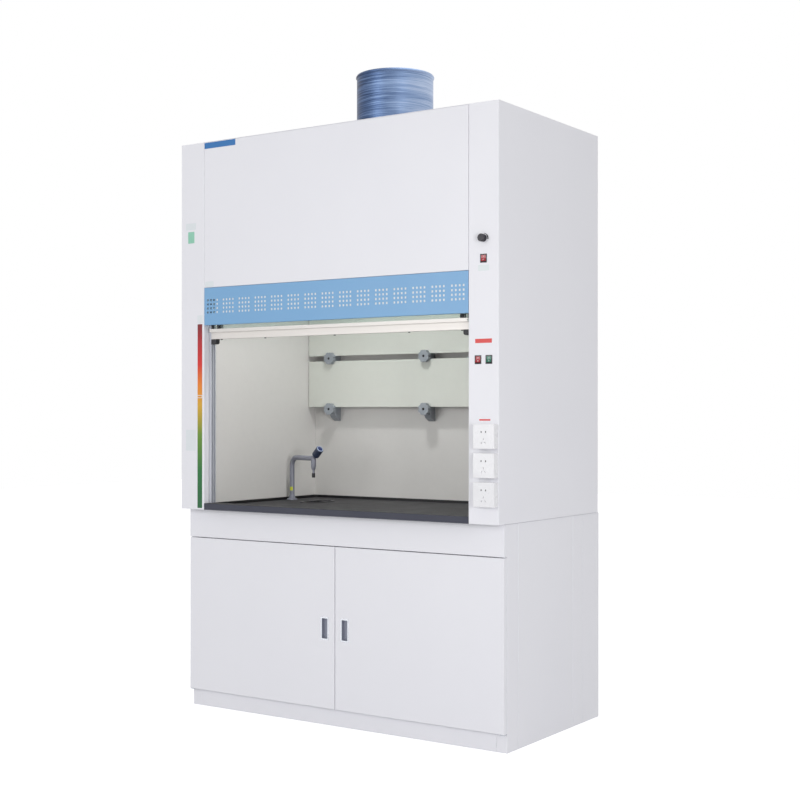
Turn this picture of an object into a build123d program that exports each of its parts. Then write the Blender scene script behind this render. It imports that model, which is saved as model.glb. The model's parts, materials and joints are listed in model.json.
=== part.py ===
import os
from math import cos, radians, sin

from build123d import *

# A ducted bench fume hood on a two-door base cabinet. X runs to the right, Y to the back and Z up.
# The origin is on the floor, at the middle of the whole object's outline. Lengths are millimetres.

# Hood body of folded sheet
hood_width = 1500
hood_depth = 782
hood_height = 1488
sheet = 1.5
fold = 3
seam = 0.8
shell_flange = 25
post_width = 124
post_return = 29
post_lip = 18
panel_depth = 18
panel_sheet = 1.2
grille_height = 151
grille_pitch = 83
grille_hole = 8
grille_hole_pitch = 16.4
opening_height = 721
roof_hook = 20

# Base cabinet
base_height = 812
base_inset = 5
base_setback = 69
back_step = 18
base_sheet = 1.5
base_flange = 20
base_seam = 2.5
front_post = 79
post_flange = 45
side_panel = 427.5
rear_groove = 82
frame_thickness = 22
frame_rail = 50
plinth_height = 68
plinth_return = 30
plinth_foot = 20
floor_thickness = 18
floor_step = 4
foot_radius = 25
foot_inset = 80
apron_height = 115
front_depth = 21.5

# Doors
door_thickness = 20
door_sheet = 1.2
door_gap = 3
door_top_gap = 3
door_bottom_gap = 1.5
pivot_radius = 2.5
pivot_inset = 4.5
pivot_plate = 3
pull_width = 38
pull_height = 88
pull_depth = 14
pull_wall = 2
pull_bezel = 1.5
pull_inset = 27
pull_drop = 272

# Chamber
board = 5
rear_space = 46
chamber_height = 1342
sash_cavity = 70
worktop_thickness = 26
dish_depth = 10
front_rim = 55
side_rim = 18
dish_radius = 12
worktop_slip = 0.5
baffle_standoff = 46
lower_slot = 392
middle_baffle_height = 202
baffle_slot = 23
top_slot = 100
baffle_slip = 4
knob_inset = 128
knob_radius = 26
knob_thickness = 20
knob_lobes = 8
stud_radius = 4
stud_length = 30
bracket_width = 30
bracket_rise = 24
bracket_drop = 52

# Sash
track_width = 12
track_depth = 28
groove_width = 8
groove_depth = 9
glass = 6
glass_height = 730
sash_gap = 56
rail_height = 30
rail_depth = 24
lip_reach = 12
lip_height = 13
lip_wall = 2.5
shoe_width = 26
shoe_drop = 20
clamp_height = 20
clamp_width = 12
clamp_inset = 36
bumper_radius = 4
bumper_drop = 3
bumper_inset = 54.5
bumper_pitch = 228.5

# Cables, pulleys and counterweight
cable_diameter = 3
cable_offset = 12
pulley_radius = 25
pulley_width = 12
pulley_flange = 3
pulley_drop = 58.5
axle_radius = 5
shaft_radius = 8
cheek = 3
weight_inset = 36
weight_thickness = 24
weight_gap = 10
weight_clear = 95
steel_density = 7.85e-6
glass_density = 2.5e-6
aluminium_density = 2.7e-6

# Duct collar and lamp
duct_radius = 155.5
duct_wall = 1.5
duct_height = 272
duct_bead = 3.5
duct_setback = 455
duct_flange = 30
lamp_length = 600
lamp_width = 120
lamp_setback = 115
lamp_height = 60
lamp_margin = 10
tube_radius = 8

# Sink, tap and pipes
sink_inset = 232
sink_setback = 452
sink_width = 76
sink_length = 160
sink_depth = 150
sink_wall = 2.5
sink_flange = 10
drain_radius = 16
drain_length = 40
tap_inset = 46
tap_setback = 513
tap_reach = 165
tap_height = 183
tap_bend = 36
tap_radius = 10.5
tap_flange_radius = 23.5
tap_tilt = 40
nozzle_radius = 11
nozzle_body = 34
nozzle_drop = 81
handle_radius = 16.5
handle_length = 50
handle_flutes = 12
handle_start = 14
spindle_radius = 4
spindle_reach = 17
shank_length = 42
pipe_radius = 7.5
pipe_bore = 40
pipe_bend = 40
trap_radius = 32
trap_height = 150
outlet_radius = 20
outlet_drop = 60
outlet_bore = 60
pipe_wall = 2

# Switches and wall sockets on the right front post
socket_width = 86
socket_height = 88
socket_depth = 30
socket_plate = 8
socket_pitch = 102
socket_low = 106.5
socket_edge = 2
rocker_width = 19.2
rocker_height = 21.2
rocker_tilt = 8
bezel_width = 27
bezel_height = 31
fan_rocker_height = 937
lower_rocker_height = 580.5
rocker_spacing = 44.5
dial_height = 1008
dial_radius = 14
dial_depth = 20

# Clearances
seat = 0.3
running = 0.05

# Places worked out from the sizes above
front = (socket_depth - hood_depth - back_step) / 2
hood_side = hood_width / 2
hood_back_y = front + hood_depth
roof_z = base_height + hood_height
post_x = hood_side - post_width
control_x = hood_side - post_width / 2
worktop_z = base_height + worktop_thickness
dish_z = worktop_z - dish_depth
opening_z = worktop_z + opening_height
panel_z = opening_z + grille_height
liner_front = front + post_return
back_wall = hood_back_y - rear_space
ceiling_z = worktop_z + chamber_height
base_side = hood_side - base_inset
base_front = front + base_setback
base_back_y = hood_back_y + back_step
base_skin_z = base_height - base_seam
apron_z = base_height - 2 - apron_height
floor_z = plinth_height + floor_thickness + floor_step
door_front = base_front - front_depth
door_top = apron_z - door_top_gap
door_bottom = plinth_height + door_bottom_gap
pivot_x = base_side - 1 - pivot_inset
pivot_y = door_front + door_thickness / 2
track_front = liner_front + 1
groove_y = track_front + groove_width
glass_x = post_x - groove_depth + 4
track_x = post_x - track_width
rail_z = opening_z - sash_gap
rail_front = groove_y - 10
clamp_z = rail_z + rail_height + lip_height - lip_wall
sash_down = rail_z - shoe_drop - worktop_z - seat
cable_x = track_x - clamp_inset
cable_front = groove_y + cable_offset
front_axle_y = cable_front + pulley_radius
cable_back = back_wall + board + weight_gap - seat + weight_thickness / 2
rear_axle_y = cable_back - pulley_radius
pulley_z = roof_z - sheet - pulley_drop
weight_z = pulley_z - weight_clear - sash_down
weight_side = post_x - weight_inset
duct_y = front + duct_setback
baffle_y = back_wall - baffle_standoff - board
middle_z = worktop_z + lower_slot
upper_z = middle_z + middle_baffle_height + baffle_slot
sink_x = sink_inset - post_x
sink_y = front + sink_setback
tap_x = tap_inset - post_x
tap_y = front + tap_setback
arm_z = dish_z + tap_height
shank_z = dish_z - worktop_thickness - shank_length
pipe_z = shank_z - 2 * pipe_bend
trap_z = dish_z - sink_depth - drain_length
outlet_z = trap_z - outlet_drop
pipe_end = base_back_y - 1


def block(x, y, z):
    """A board or bar between its (low, high) reaches along X, Y and Z."""
    size = [high - low for low, high in (x, y, z)]
    middle = [(low + high) / 2 for low, high in (x, y, z)]
    return Pos(*middle) * Box(*size)


def outline(points):
    return make_face(Polyline(*points, close=True))


def folded(points, thickness, radius=fold):
    """Section of a sheet folded along points, with its thickness on the left of the way."""
    path = FilletPolyline(*points, radius=radius)
    return make_face(offset(path, amount=thickness, side=Side.LEFT, closed=True))


def along_x(section, x):
    return extrude(Plane.YZ.offset(x[0]) * section, amount=x[1] - x[0])


def along_y(section, y):
    return extrude(Plane.XZ.offset(-y[0]) * section, amount=y[0] - y[1])


def along_z(section, z):
    return extrude(Pos(0, 0, z[0]) * section, amount=z[1] - z[0])


def round_bar(radius, start, end):
    """A round bar between two points."""
    axis = Vector(*end) - Vector(*start)
    return Plane(origin=start, z_dir=axis) * Cylinder(
        radius, axis.length, align=(Align.CENTER, Align.CENTER, Align.MIN)
    )


def turned(profile, place):
    """A turned piece from its (radius, height) outline, stood on the given plane."""
    section = Plane.XZ * outline(profile)
    return place * revolve(section, Axis.Z)


def mirrored(shape):
    return mirror(shape, about=Plane.YZ)


def group(shapes):
    return Compound(children=list(shapes))


def pair(shape):
    return group([shape, mirrored(shape)])


def pan(x, y, z, thickness):
    """A tray with its flat face at the front and its open side at the back."""
    body = block(x, y, z)
    face_edges = body.faces().sort_by(Axis.Y)[0].edges()
    body = fillet(face_edges, fold / 2)
    return offset(body, amount=-thickness, openings=body.faces().sort_by(Axis.Y)[-1])


def side_shell():
    """Right side, front post and inner return, folded from one sheet."""
    back = hood_back_y - sheet
    section = folded(
        [
            (post_x + post_lip, liner_front),
            (post_x, liner_front),
            (post_x, front),
            (hood_side, front),
            (hood_side, back),
            (hood_side - shell_flange, back),
        ],
        sheet,
    )
    shell = along_z(section, (base_height, roof_z - sheet))
    foot = (base_height, base_height + sheet)
    inner = hood_side - sheet / 2
    post_foot = block((post_x + sheet / 2, inner), (front + sheet / 2, liner_front - sheet / 2), foot)
    side_foot = block((hood_side - shell_flange, inner), (liner_front - sheet, back - sheet / 2), foot)
    return shell + post_foot + side_foot


def controls_cut():
    """Openings in the right post for the switches and the speed control."""
    holes = [
        block(
            (x - bezel_width / 2 + 1.8, x + bezel_width / 2 - 1.8),
            (front - 1, front + sheet + 1),
            (z - bezel_height / 2 + 1.8, z + bezel_height / 2 - 1.8),
        )
        for x, z in rocker_places().values()
    ]
    dial_z = base_height + dial_height
    holes.append(round_bar(5.2, (control_x, front - 1, dial_z), (control_x, front + sheet + 1, dial_z)))
    return holes


def rocker_places():
    lower = base_height + lower_rocker_height
    return {
        "fan_rocker": (control_x, base_height + fan_rocker_height),
        "lamp_rocker": (control_x - rocker_spacing / 2, lower),
        "socket_rocker": (control_x + rocker_spacing / 2, lower),
    }


def hood_back():
    side = hood_side - seam
    return block((-side, side), (hood_back_y - sheet, hood_back_y), (base_height, roof_z - sheet))


def hood_roof():
    top = block((-hood_side, hood_side), (front, hood_back_y), (roof_z - sheet, roof_z))
    hook_front = front + panel_depth + seat
    hook_side = post_x - seam
    hook = block(
        (-hook_side, hook_side),
        (hook_front, hook_front + sheet),
        (roof_z - roof_hook, roof_z - sheet / 2),
    )
    hole = Pos(0, duct_y, roof_z) * Cylinder(duct_radius + seam, 4 * sheet)
    return top + hook - hole


def front_panel():
    side = post_x - seam
    z = (panel_z + seam, roof_z - sheet - seat)
    return pan((-side, side), (front, front + panel_depth), z, panel_sheet)


def bypass_grille():
    """Perforated panel: square holes in groups of four by four."""
    side = post_x - seam
    panel = pan((-side, side), (front, front + panel_depth), (opening_z, panel_z), panel_sheet)
    centre_z = (opening_z + panel_z) / 2
    offsets = [(i - 1.5) * grille_hole_pitch for i in range(4)]
    groups = int(2 * side / grille_pitch)
    centres = [(i - (groups - 1) / 2) * grille_pitch for i in range(groups)]
    spots = [(centre + dx, centre_z + dz) for centre in centres for dx in offsets for dz in offsets]
    holes = Sketch() + [Pos(x, z) * Rectangle(grille_hole, grille_hole) for x, z in spots]
    return panel - along_y(holes, (front - 1, front + panel_sheet + 1))


def liner_side():
    return block((post_x, post_x + board), (liner_front, back_wall + board), (base_height, ceiling_z))


def liner_back():
    side = post_x - seat
    return block((-side, side), (back_wall, back_wall + board), (worktop_z, ceiling_z))


def liner_ceiling():
    side = post_x + board
    panel = block((-side, side), (front + sash_cavity, back_wall + board), (ceiling_z, ceiling_z + board))
    duct_hole = Pos(0, duct_y, ceiling_z) * Cylinder(duct_radius - duct_wall - 2, 4 * board)
    lamp_y = front + lamp_setback
    window = block(
        (-lamp_length / 2, lamp_length / 2),
        (lamp_y, lamp_y + lamp_width),
        (ceiling_z - 1, ceiling_z + board + 1),
    )
    return panel - duct_hole - window


def lamp_window():
    reach = lamp_length / 2 + lamp_margin
    low = front + lamp_setback - lamp_margin
    high = front + lamp_setback + lamp_width + lamp_margin
    return block((-reach, reach), (low, high), (ceiling_z + board, ceiling_z + board + 4))


def lamp_housing():
    reach = lamp_length / 2 + lamp_margin + 2 * sheet
    low = front + lamp_setback - lamp_margin - 2 * sheet
    high = front + lamp_setback + lamp_width + lamp_margin + 2 * sheet
    foot = ceiling_z + board
    body = block((-reach, reach), (low, high), (foot, foot + lamp_height))
    tray = offset(body, amount=-panel_sheet, openings=body.faces().sort_by(Axis.Z)[0])
    holders = [
        block(
            (side * (lamp_length / 2 - 22) - 6, side * (lamp_length / 2 - 22) + 6),
            (y - 7, y + 7),
            (tube_z() - 10, foot + lamp_height - panel_sheet / 2),
        )
        for side in (-1, 1)
        for y in tube_rows()
    ]
    return tray + holders


def tube_rows():
    middle = front + lamp_setback + lamp_width / 2
    return middle - lamp_width / 4, middle + lamp_width / 4


def tube_z():
    return ceiling_z + board + lamp_height / 2


def lamp_tubes():
    reach = lamp_length / 2 - 28
    return group(
        round_bar(tube_radius, (-reach, y, tube_z()), (reach, y, tube_z())) for y in tube_rows()
    )


def worktop():
    """Board with a raised rim, a dished surface, a sink cut-out and a tap hole."""
    side = post_x - worktop_slip
    top = block((-side, side), (front, back_wall + board), (base_height, worktop_z))
    top = fillet(top.edges().filter_by(Axis.X).group_by(Axis.Y)[0].sort_by(Axis.Z)[-1:], fold)
    dish_y = (front + front_rim, back_wall - side_rim)
    dish = Pos(0, sum(dish_y) / 2) * RectangleRounded(
        2 * (side - side_rim), dish_y[1] - dish_y[0], dish_radius
    )
    top -= along_z(dish, (dish_z, worktop_z + 1))
    hole = sink_place() * SlotOverall(sink_length + 2, sink_width + 2, rotation=90)
    top -= along_z(hole, (base_height - 1, dish_z + 1))
    return top - round_bar(tap_radius, (tap_x, tap_y, base_height - 1), (tap_x, tap_y, dish_z + 1))


def sink_place():
    return Pos(sink_x, sink_y)


def cup_sink():
    """Oval cup with a flange on the worktop, a tapered bowl and a drain tail."""
    flange = sink_place() * SlotOverall(
        sink_length + 2 * sink_flange, sink_width + 2 * sink_flange, rotation=90
    )
    mouth = sink_place() * SlotOverall(sink_length, sink_width, rotation=90)
    inside = sink_place() * SlotOverall(
        sink_length - 2 * sink_wall, sink_width - 2 * sink_wall, rotation=90
    )
    rim = along_z(flange, (dish_z, dish_z + sink_wall))
    bowl = extrude(Pos(0, 0, dish_z) * mouth, amount=-sink_depth, taper=4)
    hollow = extrude(Pos(0, 0, dish_z + sink_wall) * inside, amount=-sink_depth, taper=4)
    bottom_z = dish_z - sink_depth
    tail = round_bar(drain_radius, (sink_x, sink_y, trap_z), (sink_x, sink_y, bottom_z + 1))
    drain = round_bar(drain_radius - 3, (sink_x, sink_y, trap_z - 1), (sink_x, sink_y, bottom_z + 9))
    return rim + bowl + tail - hollow - drain


def baffle(z):
    side = post_x - baffle_slip
    return block((-side, side), (baffle_y, baffle_y + board), z)


def knob_rows():
    return {"lower": middle_z - stud_radius - 5, "upper": upper_z - baffle_slot / 2}


def knob_columns():
    reach = post_x - knob_inset
    return {"left": -reach, "middle": 0, "right": reach}


def baffle_bracket(x, z):
    """Boot-shaped stand-off on the back wall, bored for the knob's stud."""
    face = baffle_y + board
    top = z + bracket_rise
    toe = z - bracket_drop
    section = outline(
        [
            (back_wall, top),
            (face, top),
            (face, z - 16),
            (face + 14, toe + 14),
            (back_wall - 6, toe),
            (back_wall, toe),
        ]
    )
    body = along_x(section, (x - bracket_width / 2, x + bracket_width / 2))
    return body - round_bar(stud_radius + running, (x, face - 1, z), (x, face + stud_length, z))


def baffle_knob(x, z):
    """Lobed hand knob with its threaded stud drawn as a plain bar."""
    back = baffle_y - seat
    disc = Circle(knob_radius) - PolarLocations(knob_radius + 3, knob_lobes) * Circle(6)
    body = extrude(disc, amount=knob_thickness) - Pos(0, 0, knob_thickness) * Cylinder(6, 8)
    body = Plane(origin=(x, back, z), x_dir=(1, 0, 0), z_dir=(0, -1, 0)) * body
    tip = baffle_y + board + stud_length - 2
    return body + round_bar(stud_radius, (x, back - 2, z), (x, tip, z))


def sash_track():
    """Double-groove profile down the right wall."""
    x = (track_x, post_x)
    y = (track_front, track_front + track_depth)
    profile = block(x, y, (worktop_z + seat, ceiling_z - seat))
    low = groove_y - groove_width / 2
    pitch = groove_width + 4
    for start in (low, low + pitch):
        profile -= block(
            (track_x - 1, track_x + groove_depth),
            (start, start + groove_width),
            (worktop_z - 1, ceiling_z + 1),
        )
    return profile


def sash_glass():
    y = (groove_y - glass / 2, groove_y + glass / 2)
    return block((-glass_x, glass_x), y, (rail_z + 10, rail_z + 10 + glass_height))


def sash_rail():
    """Extruded bottom rail: a glass channel with an upturned finger lip."""
    slot = glass / 2 + seat
    back = rail_front + rail_depth
    top = rail_z + rail_height
    lip = rail_front - lip_reach
    section = outline(
        [
            (rail_front, rail_z),
            (back, rail_z),
            (back, top),
            (groove_y + slot, top),
            (groove_y + slot, rail_z + 10),
            (groove_y - slot, rail_z + 10),
            (groove_y - slot, top),
            (lip + lip_wall, top),
            (lip + lip_wall, top + lip_height - lip_wall),
            (lip, top + lip_height - lip_wall),
            (lip, top - lip_wall),
            (rail_front, top - lip_wall),
        ]
    )
    reach = track_x - 2
    return along_x(section, (-reach, reach))


def sash_guide_set():
    """Right end shoe with its tongue, cable clamp and upper guide."""
    low = rail_z - shoe_drop
    tongue_y = (groove_y - glass / 2, groove_y + glass / 2)
    shoe = block(
        (track_x - seat * 2 - shoe_width, track_x - seat * 2),
        (rail_front + 1, rail_front + rail_depth - 1),
        (low, rail_z),
    )
    tongue = block((track_x - 2 * seat - 1, glass_x), tongue_y, (low, rail_z))
    shoe = chamfer(shoe.edges().filter_by(Axis.Y).group_by(Axis.Z)[0].sort_by(Axis.X)[:1], 5) + tongue
    x = (cable_x - clamp_width / 2, cable_x + clamp_width / 2)
    z = (clamp_z, clamp_z + clamp_height)
    front_jaw = block(x, (groove_y - glass / 2 - 4, groove_y - glass / 2), z)
    rear_jaw = block(x, (groove_y + glass / 2, cable_front + 6), z)
    guide = block((track_x - 10, track_x - 2 * seat), (groove_y - 8, groove_y - glass / 2), z)
    return [shoe, front_jaw, rear_jaw, guide]


def sash_guides():
    """Rubber and plastic pieces at both ends of the rail, and the bumpers under it."""
    right = sash_guide_set()
    bumper_y = rail_front + rail_depth - 6
    outer = post_x - bumper_inset
    places = [-outer, bumper_pitch - outer, 0, outer - bumper_pitch, outer]
    bumpers = [
        round_bar(bumper_radius, (x, bumper_y, rail_z - bumper_drop), (x, bumper_y, rail_z))
        for x in places
    ]
    return group(right + [mirrored(piece) for piece in right] + bumpers)


def sheave(bore):
    """Half section of a grooved pulley, its groove a clearance below the cable."""
    outer = pulley_radius + pulley_flange
    root = pulley_radius - cable_diameter / 2 - seat
    half = pulley_width / 2
    neck = cable_diameter / 2 + 0.5
    return [
        (bore, -half),
        (outer, -half),
        (root, -neck),
        (root, neck),
        (outer, half),
        (bore, half),
    ]


def across_x(x, y, z):
    return Plane(origin=(x, y, z), x_dir=(0, 1, 0), z_dir=(1, 0, 0))


def front_pulley():
    place = across_x(cable_x, front_axle_y, pulley_z)
    return turned(sheave(axle_radius + running), place)


def rear_pulley_shaft():
    reach = cable_x + pulley_width / 2 + 14
    shaft = round_bar(shaft_radius, (-reach, rear_axle_y, pulley_z), (reach, rear_axle_y, pulley_z))
    right = turned(sheave(shaft_radius - 1), across_x(cable_x, rear_axle_y, pulley_z))
    return shaft + right + mirrored(right)


def front_bracket():
    """Two cheeks and a top plate under the roof, with the axle between the cheeks."""
    outer = pulley_width / 2 + 1 + cheek
    x = (cable_x - outer, cable_x + outer)
    y = (front_axle_y - 14, front_axle_y + 14)
    z = (pulley_z - 12, roof_z - sheet)
    gap = block((x[0] + cheek, x[1] - cheek), (y[0] - 1, y[1] + 1), (z[0] - 1, z[1] - cheek))
    axle = round_bar(axle_radius, (x[0], front_axle_y, pulley_z), (x[1], front_axle_y, pulley_z))
    return block(x, y, z) - gap + axle


def rear_bracket():
    """Cheek with the shaft's bearing hole and a foot under the roof."""
    low = cable_x + pulley_width / 2 + 4
    y = (rear_axle_y - 16, rear_axle_y + 16)
    plate = block((low, low + 6), y, (pulley_z - 16, roof_z - sheet))
    foot = block((low - 22, low + 1), y, (roof_z - sheet - cheek, roof_z - sheet))
    hole = round_bar(shaft_radius + running, (low - 1, rear_axle_y, pulley_z), (low + 7, rear_axle_y, pulley_z))
    return plate + foot - hole


def cable_top_run():
    """Cable over the front and rear pulleys, from one vertical run to the other."""
    top = pulley_z + pulley_radius
    section = Circle(cable_diameter / 2)
    rise = revolve(
        Pos(cable_x, cable_front, pulley_z) * section, Axis((cable_x, front_axle_y, pulley_z), (-1, 0, 0)), 90
    )
    fall = revolve(
        Pos(cable_x, cable_back, pulley_z) * section, Axis((cable_x, rear_axle_y, pulley_z), (1, 0, 0)), 90
    )
    return rise + fall + round_bar(cable_diameter / 2, (cable_x, front_axle_y, top), (cable_x, rear_axle_y, top))


def cable_run(y, low):
    return round_bar(cable_diameter / 2, (cable_x, y, low), (cable_x, y, pulley_z))


def counterweight():
    """Steel bar whose height balances the glass and its rail."""
    mass = sash_glass().volume * glass_density + sash_rail().volume * aluminium_density
    height = mass / (2 * weight_side * weight_thickness * steel_density)
    y = (cable_back - weight_thickness / 2, cable_back + weight_thickness / 2)
    bar = block((-weight_side, weight_side), y, (weight_z - height, weight_z))
    return chamfer(bar.edges().filter_by(Axis.Y), 6)


def duct_collar():
    """Spigot with a rolled bead at its mouth and a flange on the roof."""
    inner = duct_radius - duct_wall
    top = roof_z + duct_height
    foot = ceiling_z + board
    profile = [
        (inner, foot),
        (duct_radius, foot),
        (duct_radius, roof_z),
        (duct_radius + duct_flange, roof_z),
        (duct_radius + duct_flange, roof_z + sheet),
        (duct_radius, roof_z + sheet),
        (duct_radius, top - 14),
        (duct_radius + duct_bead, top - 9),
        (duct_radius + duct_bead, top - 5),
        (duct_radius, top),
        (inner, top),
    ]
    return turned(profile, Pos(0, duct_y, 0))


def arm_direction():
    way = Vector(sink_x - tap_x, sink_y - tap_y, 0)
    return way.normalized()


def tap_body():
    """Flange, gooseneck, valve with a hose nozzle, spindle and threaded shank."""
    way = arm_direction()
    root = Vector(tap_x, tap_y, dish_z)
    elbow = root + Vector(0, 0, tap_height)
    valve = elbow + way * tap_reach
    path = FilletPolyline(root, elbow, valve, radius=tap_bend)
    tube = sweep(Plane(origin=root) * Circle(tap_radius), path=path)
    base = turned(
        [(0, 0), (tap_flange_radius, 0), (tap_flange_radius, 3), (14, 8), (12, 20), (0, 20)], Pos(*root)
    )
    nozzle = turned(
        [
            (0, 12),
            (8, 11),
            (nozzle_radius, 6),
            (nozzle_radius, -nozzle_body),
            (9, -nozzle_body - 10),
            (5, -nozzle_body - 16),
            (5, 21 - nozzle_drop),
            (6.5, 16 - nozzle_drop),
            (4.5, -nozzle_drop),
            (0, -nozzle_drop),
        ],
        Pos(*valve),
    )
    neck = along_z(Circle(9), (0, handle_start - seat))
    spindle = along_z(Circle(spindle_radius), (0, handle_start + spindle_reach - 1))
    shank = round_bar(tap_radius - 1, (tap_x, tap_y, shank_z), root)
    nut = Pos(tap_x, tap_y, base_height - 8) * extrude(RegularPolygon(17, 6), amount=8)
    return tube + base + nozzle + handle_plane() * (neck + spindle) + shank + nut


def handle_plane():
    """Plane at the valve's middle, its Z along the tilted handle."""
    way = arm_direction()
    valve = Vector(tap_x, tap_y, arm_z) + way * tap_reach
    tilt = radians(tap_tilt)
    return Plane(origin=valve, z_dir=way * cos(tilt) + Vector(0, 0, sin(tilt)))


def tap_handle():
    """Fluted tilted handle with a bore for the spindle."""
    end = handle_start + handle_length
    bore_end = handle_start + spindle_reach
    profile = [
        (spindle_radius + running, handle_start),
        (10, handle_start),
        (handle_radius, handle_start + 8),
        (handle_radius, end - 2),
        (handle_radius - 2, end),
        (0, end),
        (0, bore_end),
        (spindle_radius + running, bore_end),
    ]
    body = turned(profile, handle_plane())
    flutes = Sketch() + PolarLocations(handle_radius + 1, handle_flutes) * Rectangle(5, 3)
    cut = along_z(flutes, (handle_start + 10, end - 6))
    return body - handle_plane() * cut


def supply_pipe():
    """Water pipe from the tap's shank to the cabinet's back, open at its inlet end."""
    corners = [(tap_x, tap_y, shank_z), (tap_x, tap_y, pipe_z), (tap_x, pipe_end, pipe_z)]
    path = FilletPolyline(*corners, radius=pipe_bend)
    pipe = sweep(Plane(origin=corners[0]) * Circle(pipe_radius), path=path)
    mouth = (tap_x, pipe_end - pipe_bore, pipe_z), (tap_x, pipe_end + 1, pipe_z)
    return pipe - round_bar(pipe_radius - pipe_wall, *mouth)


def waste_trap():
    """Bottle trap under the sink, with its outlet through the cabinet's back."""
    bottle = turned(
        [
            (0, -trap_height),
            (trap_radius - 8, -trap_height),
            (trap_radius, 10 - trap_height),
            (trap_radius, -30),
            (drain_radius + 8, -18),
            (drain_radius + 8, 14),
            (drain_radius + running, 14),
            (drain_radius + running, 0),
            (0, 0),
        ],
        Pos(sink_x, sink_y, trap_z),
    )
    outlet = round_bar(outlet_radius, (sink_x, sink_y, outlet_z), (sink_x, pipe_end, outlet_z))
    mouth = (sink_x, pipe_end - outlet_bore, outlet_z), (sink_x, pipe_end + 1, outlet_z)
    return bottle + outlet - round_bar(outlet_radius - pipe_wall, *mouth)


def wall_socket(z):
    """Surface box with a five-hole front plate."""
    x = hood_side - socket_edge - socket_width / 2
    half_w, half_h = socket_width / 2, socket_height / 2
    box_y = (front - socket_depth + socket_plate, front)
    box = block((x - half_w + 1, x + half_w - 1), box_y, (z - half_h + 1, z + half_h - 1))
    plate = block((x - half_w, x + half_w), (front - socket_depth, box_y[0]), (z - half_h, z + half_h))
    plate = fillet(plate.faces().sort_by(Axis.Y)[0].edges(), 2)
    slots = [Pos(x + dx, z + 16) * Rectangle(4, 6) for dx in (-9, 9)]
    slots += [Pos(x, z - 9) * Rectangle(2, 7)]
    slots += [Pos(x + dx, z - 22) * Rectangle(2, 7, rotation=turn) for dx, turn in ((-7, -30), (7, 30))]
    cut = along_y(Sketch() + slots, (front - socket_depth - 1, front - socket_depth + 6))
    return box + plate - cut


def wall_sockets():
    low = base_height + socket_low
    return group(wall_socket(low + i * socket_pitch) for i in range(3))


def rocker_bezel(x, z):
    """Flange on the post and a sleeve behind it, bored for the rocker's pins."""
    inner_w = rocker_width / 2 + 0.4
    inner_h = rocker_height / 2 + 1.4
    half_w, half_h = bezel_width / 2, bezel_height / 2
    flange = block((x - half_w, x + half_w), (front - 1.5, front), (z - half_h, z + half_h))
    flange = chamfer(flange.faces().sort_by(Axis.Y)[0].edges(), 0.8)
    sleeve = block(
        (x - half_w + 2, x + half_w - 2), (front, front + 18), (z - half_h + 2, z + half_h - 2)
    )
    opening = block((x - inner_w, x + inner_w), (front - 3, front + 16), (z - inner_h, z + inner_h))
    pins = round_bar(1.5 + running, (x - inner_w - 1, front + 5, z), (x + inner_w + 1, front + 5, z))
    return flange + sleeve - opening - pins


def rocker(x, z):
    """Rocking paddle with pins at its sides, tipped to its off side."""
    half = rocker_height / 2
    section = outline(
        [
            (front - 2.6, z + half),
            (front - 0.4, z),
            (front - 2.6, z - half),
            (front + 4, z - half),
            (front + 9, z),
            (front + 4, z + half),
        ]
    )
    paddle = along_x(section, (x - rocker_width / 2, x + rocker_width / 2))
    reach = rocker_width / 2 + 1.2
    paddle += round_bar(1.5, (x - reach, front + 5, z), (x + reach, front + 5, z))
    return paddle.rotate(Axis((x, front + 5, z), (1, 0, 0)), -rocker_tilt)


def dial_mount():
    """Bushing and body of the speed control, held through the post."""
    z = base_height + dial_height
    body = round_bar(12, (control_x, front + sheet, z), (control_x, front + 16, z))
    bush = round_bar(5, (control_x, front - 1, z), (control_x, front + sheet + 1, z))
    bore = round_bar(3 + running, (control_x, front - 2, z), (control_x, front + 12, z))
    return body + bush - bore


def speed_knob():
    """Fluted dial knob on its shaft."""
    z = base_height + dial_height
    disc = RegularPolygon(dial_radius, 12)
    body = extrude(disc, amount=dial_depth)
    body = chamfer(body.faces().sort_by(Axis.Z)[-1].edges(), 1.5)
    pointer = Pos(0, dial_radius / 2, dial_depth) * Box(1.6, dial_radius, 1.6)
    body = Plane(origin=(control_x, front - 1.3, z), x_dir=(1, 0, 0), z_dir=(0, -1, 0)) * (body - pointer)
    return body + round_bar(3, (control_x, front - 3, z), (control_x, front + 11, z))


def control_bezels():
    return group([rocker_bezel(x, z) for x, z in rocker_places().values()] + [dial_mount()])


def base_post():
    """Right front post of the cabinet."""
    back = base_front + front_post - base_seam / 4
    section = folded(
        [
            (base_side - post_flange, base_front + 18),
            (base_side - post_flange, base_front),
            (base_side, base_front),
            (base_side, back),
            (base_side - base_flange, back),
        ],
        base_sheet,
        2,
    )
    return along_z(section, (0, base_skin_z))


def base_side_panel():
    """Right removable side panel between the post and the rear panel."""
    low = base_front + front_post + base_seam / 4
    high = low + side_panel
    section = folded(
        [(base_side - base_flange, low), (base_side, low), (base_side, high), (base_side - base_flange, high)],
        base_sheet,
        2,
    )
    return along_z(section, (0, base_skin_z))


def base_rear_panel():
    """Right rear panel with a pressed groove down it."""
    low = base_front + front_post + side_panel + base_seam * 3 / 4
    section = folded(
        [
            (base_side - base_flange, low),
            (base_side, low),
            (base_side, base_back_y),
            (base_side - shell_flange, base_back_y),
        ],
        base_sheet,
        2,
    )
    panel = along_z(section, (0, base_skin_z))
    groove = block(
        (base_side - 0.7, base_side + 1), (low + rear_groove, low + rear_groove + 2), (-1, base_height)
    )
    return panel - groove


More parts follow.
